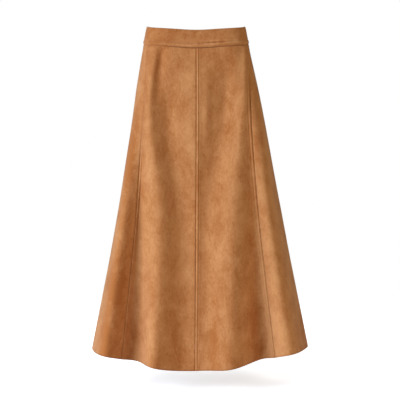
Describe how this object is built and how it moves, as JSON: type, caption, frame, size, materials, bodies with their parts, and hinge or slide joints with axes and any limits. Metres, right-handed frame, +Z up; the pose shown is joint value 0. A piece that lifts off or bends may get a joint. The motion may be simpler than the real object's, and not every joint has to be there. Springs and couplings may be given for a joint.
{
  "type": "a-line skirt",
  "caption": "Midi a-line skirt in suede cloth, flared gores with topstitched seams on a plain waistband, concealed zip at the centre back, filled out as worn.",
  "frame": {"origin": "centre of the waist, on the vertical line through the middle of the waistband's oval, at half the height of the waistband at the sides", "axes": "+Z up along the wearer's body, -Y the skirt's front, +X the wearer's left"},
  "size_m": [0.566, 0.3713, 0.8785],
  "materials": {
    "suede": "camel brown faux suede, matt, with a soft brushed nap",
    "zip_tape": "woven polyester tape, brown",
    "zip_coil": "nylon coil, brown",
    "zip_metal": "die-cast zinc, enamelled to match the cloth"
  },
  "bodies": {
    "skirt": {"front_gore_left": "suede", "front_gore_right": "suede", "side_gore_left": "suede", "side_gore_right": "suede", "back_gore_left": "suede", "back_gore_right": "suede", "waistband_front": "suede", "waistband_back_left": "suede", "waistband_back_right": "suede", "zip_tape_left": "zip_tape", "zip_tape_right": "zip_tape", "zip_coil": "zip_coil", "zip_slider": "zip_metal"},
    "pull": {"zip_pull": "zip_metal"}
  },
  "joints": [
    {"name": "pull_hinge", "type": "hinge", "parent": "skirt", "child": "pull", "pos_m": [0, 0.08393, 0.00535], "axis": [1, 0, 0], "range_deg": [0, 170]}
  ]
}
